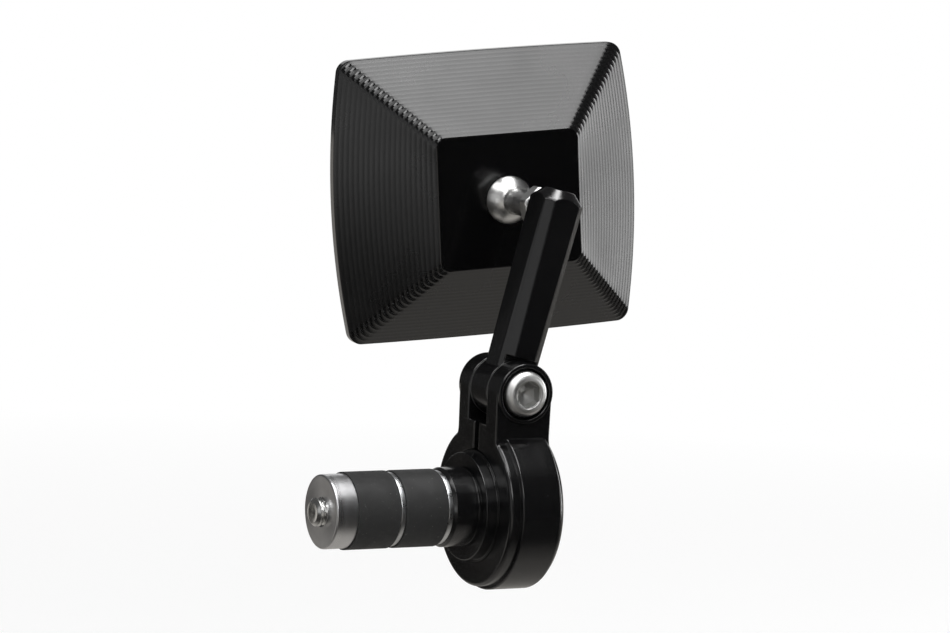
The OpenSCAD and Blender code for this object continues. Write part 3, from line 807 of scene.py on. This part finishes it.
# ---- Stalk ----
# A faceted arm milled from aluminium bar and anodised black: eight sides that taper to a cut
# tip, a round tongue for the clamp, and a blind threaded hole for the ball stud.
stalk_lean = math.radians(14.5)
stalk_place = Matrix.Translation(pivot) @ Matrix.Rotation(stalk_lean, 4, "Y")
stalk_black = black_turned("stalk_black", 4200.0, 29.0, 1.5e-6)
stalk = broken_edges("milled_stalk", "stalk", 0.25, stalk_place, "stalk", sharp_degrees=14)
stalk.data.materials.append(stalk_black)


# ---- Ball stud ----
# A stainless stud screwed into the stalk: a hexagon against the stalk, a slim neck, and a ball
# that is ground and polished where the liner and the seat bear on it.
ball_centre = Vector((18.990, 22.3, 63.248)) * MM
stud_place = Matrix.Translation(ball_centre) @ Matrix.Rotation(math.radians(-90), 4, "X")
ball_steel = bare_turned("satin_stainless", (0.8, 0.8, 0.79), 9000.0, 51.0, 0.30, 1e-6, stretch=0.0)
around = 96
hexagon = polygon_radius(4.0, 6, around, stalk_lean)
rings = [ring_at(-25.7, 2.0, around), ring_at(-25.3, 2.45, around), ring_at(-17.35, 2.45, around)]
rings += [
    ring_at(-17.3, np.minimum(hexagon, 3.95), around), ring_at(-17.12, np.minimum(hexagon, 4.2), around),
    ring_at(-17.0, np.minimum(hexagon, 4.4), around), ring_at(-16.85, np.minimum(hexagon, 4.5), around),
    ring_at(-14.75, np.minimum(hexagon, 4.5), around), ring_at(-14.55, np.minimum(hexagon, 4.35), around),
    ring_at(-14.3, np.minimum(hexagon, 3.95), around), ring_at(-14.3, 3.2, around),
]
neck_r = 2.9
rings += [
    ring_at(height, radius, around) for height, radius in
    eased_line(
        [(-14.3, 3.2), (-14.3, neck_r), (-6.2, neck_r), (-5.15, 3.08)], [0, 0.25, 1.0, 0], closed=False
    )[1:]
]
for k in range(44):
    lift = math.radians(-59.2 + (59.2 + 89) * k / 43)
    rings.append(ring_at(6 * math.sin(lift), 6 * math.cos(lift), around))
ball_stud = face_smoothly(lofted("ball_stud_ground", rings, stud_place, "stalk"))
ball_stud.data.materials.append(ball_steel)
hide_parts("ball_stud")


# ---- Ball joint's inner parts ----
# Behind the ball lie an acetal liner, a steel cup, a spring and a threaded ring, all hidden by
# the glass. The cup and the ring are turned, and the spring is pressed from hardened strip.
liner_white, tree, shader = new_material("liner_acetal", (0.8, 0.79, 0.76), 0.4, 0.0, 1.48)
touch = placed(tree, handling, Smear_size=300.0, Dust_size=2600.0)
tree.links.new(between(tree, touch.outputs["Smear"], 0.34, 0.5), shader.inputs["Roughness"])
keep_node("friction_liner", liner_white)
keep_node("pressure_cup", zinc)
spring_steel = plated_steel("oiled_spring_steel", (0.35, 0.34, 0.33), 61.0)
keep_node("disc_spring", spring_steel)
keep_node("retaining_ring", plain_aluminium)


# ---- Mirror head ----
# The hollow housing, milled from a block of aluminium and anodised black. A cutter leaves fine
# steps down the four faces of its pyramid, and the flat round the ball is faced smooth.
head_place = (
    Matrix.Translation(ball_centre)
    @ Matrix.Rotation(math.radians(-7.5), 4, "Z")
    @ Matrix.Rotation(math.radians(-5), 4, "Y")
)
CORNER_STEPS, SIDE_STEPS, TOP_STEPS = 12, 32, 30


def head_outline(half_width, half_height, corner, side_bow, top_bow):
    """The head's outline: a rectangle with round corners whose sides bow out, from the right side's top."""
    corners = []
    for quarter in range(4):
        turn = math.radians(90 * quarter)
        middle_x = math.copysign(half_width - corner, math.cos(turn + math.pi / 4))
        middle_z = math.copysign(half_height - corner, math.sin(turn + math.pi / 4))
        sweep = turn + np.linspace(0, math.pi / 2, CORNER_STEPS + 1)
        corners.append(np.stack([middle_x + corner * np.cos(sweep), middle_z + corner * np.sin(sweep)], 1))
    line = []
    for quarter, steps in enumerate((TOP_STEPS, SIDE_STEPS, TOP_STEPS, SIDE_STEPS)):
        here, after = corners[quarter], corners[(quarter + 1) % 4]
        share = np.linspace(0, 1, steps + 1)[1:-1, None]
        line += [here, here[-1] + (after[0] - here[-1]) * share]
    line = np.concatenate(line)
    x, z = line[:, 0].copy(), line[:, 1].copy()
    line[:, 0] = x * (1 + side_bow / half_width * (1 - (z / half_height) ** 2))
    line[:, 1] = z * (1 + top_bow / half_height * (1 - (x / half_width) ** 2))
    return line


def at_depth(line, y):
    """An outline as a ring of points at a depth behind the flat."""
    return np.stack([line[:, 0], np.full(len(line), y), line[:, 1]], 1)


HEAD_W, HEAD_H, FLAT_W, FLAT_H = 64.8, 62.0, 32.6, 29.0
FLAT_Y, RIM_Y, FRONT_Y = -3.0, 12.0, 14.5
SIDE_BOW, TOP_BOW, RIM_CORNER, FLAT_CORNER = 2.7, 0.4, 2.4, 2.1
PASSES, PASS_STEPS, PASS_DEPTH, PASS_CORNER = 20, 8, 0.02, 0.4
SEAT_R, WALL, LEDGE_Y, HOLLOW_Y = 6.05, 2.2, 11.6, -0.8


def rim_line(margin):
    return head_outline(
        HEAD_W / 2 - margin, HEAD_H / 2 - margin, max(RIM_CORNER - margin, 0.4), SIDE_BOW, TOP_BOW
    )


def pyramid_line(t, draw_in=0.0, rounder=0.0):
    """The outline at a share of the way from the flat to the rim."""
    return head_outline(
        (FLAT_W + (HEAD_W - FLAT_W) * t) / 2 - draw_in, (FLAT_H + (HEAD_H - FLAT_H) * t) / 2 - draw_in,
        FLAT_CORNER + (RIM_CORNER - FLAT_CORNER) * t + rounder, SIDE_BOW * t, TOP_BOW * t,
    )


def round_line(radius, like):
    """A circle whose points lie in the directions of another outline's points."""
    angles = np.arctan2(like[:, 1], like[:, 0])
    return np.stack([radius * np.cos(angles), radius * np.sin(angles)], 1)


slope = math.atan2(RIM_Y - FLAT_Y, (HEAD_W - FLAT_W) / 2)
flat_line = pyramid_line(0)
mouth_r = math.sqrt(SEAT_R ** 2 - FLAT_Y ** 2)
rings, finish = [], []


def add_ring(ring, kind):
    rings.append(ring)
    finish.append(kind)


# The faced flat: from the ball's mouth, its edge lightly broken, out to the first pass
for radius, y in (
    (mouth_r + 0.02, FLAT_Y + 0.14), (mouth_r + 0.06, FLAT_Y + 0.04), (mouth_r + 0.16, FLAT_Y),
):
    add_ring(at_depth(round_line(radius, flat_line), y), "faced")
for share in (0.3, 0.65):
    circle = round_line(mouth_r + 0.16, flat_line)
    add_ring(at_depth(circle + (flat_line - circle) * share, FLAT_Y), "faced")
add_ring(at_depth(pyramid_line(0, 0.18), FLAT_Y), "faced")
add_ring(at_depth(pyramid_line(0, 0.06), FLAT_Y + 0.02), "faced")

# The four faces: each pass of the cutter is a shallow trough between two crests
for i in range(PASSES):
    for s in range(PASS_STEPS):
        if i == 0 and s == 0:
            continue
        f = s / PASS_STEPS
        t = (i + f) / PASSES
        trough = 4 * f * (1 - f)
        cut = PASS_DEPTH * trough
        add_ring(at_depth(
            pyramid_line(t, cut * math.sin(slope), PASS_CORNER * trough),
            FLAT_Y + (RIM_Y - FLAT_Y) * t + cut * math.cos(slope),
        ), "ridged")

# The rim, and the recess for the glass
for margin, y in (
    (0.04, RIM_Y - 0.06), (0.0, RIM_Y + 0.08), (0.0, FRONT_Y - 0.45), (0.06, FRONT_Y - 0.3),
    (0.3, FRONT_Y - 0.06), (0.45, FRONT_Y), (1.35, FRONT_Y), (1.46, FRONT_Y - 0.04), (1.5, FRONT_Y - 0.15),
    (1.5, 11.7), (1.55, LEDGE_Y),
):
    add_ring(at_depth(rim_line(margin), y), "faced")


# The hollow: the ledge, the walls, the floor, the boss, and the bore and seat of the ball joint
def hollow_line(y):
    t = (y - FLAT_Y) / (RIM_Y - FLAT_Y)
    rise = RIM_Y - FLAT_Y
    side_wall = WALL * math.hypot((HEAD_W - FLAT_W) / 2, rise) / rise
    top_wall = WALL * math.hypot((HEAD_H - FLAT_H) / 2, rise) / rise
    return head_outline(
        (FLAT_W + (HEAD_W - FLAT_W) * t) / 2 - side_wall, (FLAT_H + (HEAD_H - FLAT_H) * t) / 2 - top_wall,
        1.0, SIDE_BOW * t, TOP_BOW * t,
    )


add_ring(at_depth(hollow_line(LEDGE_Y), LEDGE_Y), "inner")
for k in range(1, 8):
    y = LEDGE_Y - (LEDGE_Y - HOLLOW_Y) * k / 7
    add_ring(at_depth(hollow_line(y), y), "inner")
for radius, y in (
    (11.1, HOLLOW_Y), (10.8, -0.5), (10.8, 10.9), (10.6, 11.1), (8.4, 11.1), (8.2, 10.9), (8.2, 0.2),
):
    add_ring(at_depth(round_line(radius, flat_line), y), "inner")
add_ring(at_depth(round_line(8.0, flat_line), 0.0), "inner")
for k in range(8):
    y = -(3 - 0.2) * k / 7
    add_ring(at_depth(round_line(math.sqrt(SEAT_R ** 2 - y * y), flat_line), y), "inner")


def at_head(rings):
    """Rings about the ball's centre, placed in the frame of the whole part."""
    turn = np.array(head_place.to_3x3())
    return np.asarray(rings) @ turn.T + np.array(head_place.translation) / MM


whole_frame = Matrix.Identity(4)
head = lofted("milled_head_housing", at_head(rings), whole_frame, "head", closed=True)
points_round = len(flat_line)
kinds = {"faced": 0, "ridged": 1, "inner": 2}
head.data.polygons.foreach_set(
    "material_index", np.repeat([kinds[kind] for kind in finish], points_round).astype(np.int32)
)
face_smoothly(head, 15)
head_faced, tree, shader = new_material("faced_black", (0.002, 0.002, 0.0022), 0.1, 0.0, 1.6)
touch = placed(tree, handling, Smear_size=60.0, Dust_size=2400.0)
tree.links.new(between(tree, touch.outputs["Smear"], 0.08, 0.15), shader.inputs["Roughness"])
tree.links.new(
    colour_mix(tree, touch.outputs["Dust"], (0.002, 0.002, 0.0022), (0.02, 0.02, 0.02)),
    shader.inputs["Base Color"],
)
head_ridged, tree, shader = new_material("ridged_black", (0.003, 0.003, 0.0032), 0.29, 0.0, 1.6)
touch = placed(tree, handling, Smear_size=50.0, Dust_size=2000.0)
grain = tree.nodes.new("ShaderNodeTexNoise")
grain.inputs["Scale"].default_value = 5200.0
spot = tree.nodes.new("ShaderNodeTexCoord")
tree.links.new(spot.outputs["Object"], grain.inputs["Vector"])
# The cutter sweeps round the corners without a stop, so the four hips come out smoother
cornered = tree.nodes.new("ShaderNodeMath")
cornered.operation = "MULTIPLY"
for socket, side in zip(cornered.inputs, (head_place.col[0], head_place.col[2])):
    leaning = tree.nodes.new("ShaderNodeVectorMath")
    leaning.operation = "DOT_PRODUCT"
    leaning.inputs[1].default_value = side.xyz
    tree.links.new(spot.outputs["Normal"], leaning.inputs[0])
    tree.links.new(leaning.outputs["Value"], socket)
either_way = tree.nodes.new("ShaderNodeMath")
either_way.operation = "ABSOLUTE"
tree.links.new(cornered.outputs[0], either_way.inputs[0])
hip = tree.nodes.new("ShaderNodeMapRange")
hip.inputs["From Min"].default_value = 0.085
hip.inputs["From Max"].default_value = 0.115
hip.inputs["To Min"].default_value = 1.0
hip.inputs["To Max"].default_value = 0.25
tree.links.new(either_way.outputs[0], hip.inputs["Value"])
cut_finish = tree.nodes.new("ShaderNodeMath")
cut_finish.operation = "MULTIPLY"
tree.links.new(between(tree, touch.outputs["Smear"], 0.25, 0.33), cut_finish.inputs[0])
tree.links.new(hip.outputs["Result"], cut_finish.inputs[1])
tree.links.new(cut_finish.outputs[0], shader.inputs["Roughness"])
bumped(tree, shader, grain.outputs["Fac"], 2e-6)
head_inner = black_turned("inner_black", 3000.0, 71.0, 3e-6)
for material in (head_faced, head_ridged, head_inner):
    head.data.materials.append(material)
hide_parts("head_housing")


# ---- Glass pad ----
# A frame of black double sided foam tape that beds the glass on the housing's ledge.
foam, tree, shader = new_material("foam_tape", (0.03, 0.03, 0.03), 0.9, 0.0, 1.45)
cells = tree.nodes.new("ShaderNodeTexVoronoi")
cells.inputs["Scale"].default_value = 2600.0
spot = tree.nodes.new("ShaderNodeTexCoord")
tree.links.new(spot.outputs["Object"], cells.inputs["Vector"])
bumped(tree, shader, cells.outputs["Distance"], 8e-5, 0.7)
keep_node("glass_pad", foam)


# ---- Mirror glass ----
# A convex glass, silvered and about 2.4 mm thick, cut to the rim's outline. Its edge is ground
# to a small bevel that shows a dull green grey.
GLASS_R, GLASS_BACK = 1000.0, 12.1


def glass_ring(line, drop=0.0):
    """A ring on the glass's convex face, or a little below it."""
    depth = FRONT_Y - GLASS_R + np.sqrt(GLASS_R ** 2 - (line ** 2).sum(1)) - drop
    return np.stack([line[:, 0], depth, line[:, 1]], 1)


edge_line = rim_line(1.75)
rings = [at_depth(edge_line * share, GLASS_BACK) for share in (0.02, 0.5, 0.97)]
rings += [at_depth(rim_line(1.78), GLASS_BACK + 0.02), at_depth(edge_line, GLASS_BACK + 0.2)]
rings += [glass_ring(edge_line, 0.3), glass_ring(rim_line(1.82), 0.12), glass_ring(rim_line(1.98), 0.0)]
edge_rings = len(rings)
inner = rim_line(1.98)
rings += [glass_ring(inner * share) for share in np.linspace(0.98, 0.02, 30)]
glass = lofted("silvered_glass", at_head(rings), whole_frame, "head")
ring_kind = np.zeros(len(rings) - 1, int)
ring_kind[2:edge_rings - 1] = 1
glass_kind = np.concatenate([np.repeat(ring_kind, points_round), np.zeros(2 * points_round, int)])
glass.data.polygons.foreach_set("material_index", glass_kind.astype(np.int32))
face_smoothly(glass, 20)
silver, tree, shader = new_material("silvered_face", (0.82, 0.85, 0.87), 0.02, 1.0)
touch = placed(tree, handling, Smear_size=40.0, Dust_size=1500.0)
tree.links.new(between(tree, touch.outputs["Smear"], 0.012, 0.035), shader.inputs["Roughness"])
ground_edge, tree, shader = new_material("ground_glass_edge", (0.25, 0.32, 0.29), 0.45, 0.0, 1.52)
touch = placed(tree, handling, Smear_size=900.0, Dust_size=3000.0)
tree.links.new(between(tree, touch.outputs["Smear"], 0.35, 0.6), shader.inputs["Roughness"])
glass.data.materials.append(silver)
glass.data.materials.append(ground_edge)
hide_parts("mirror_glass")
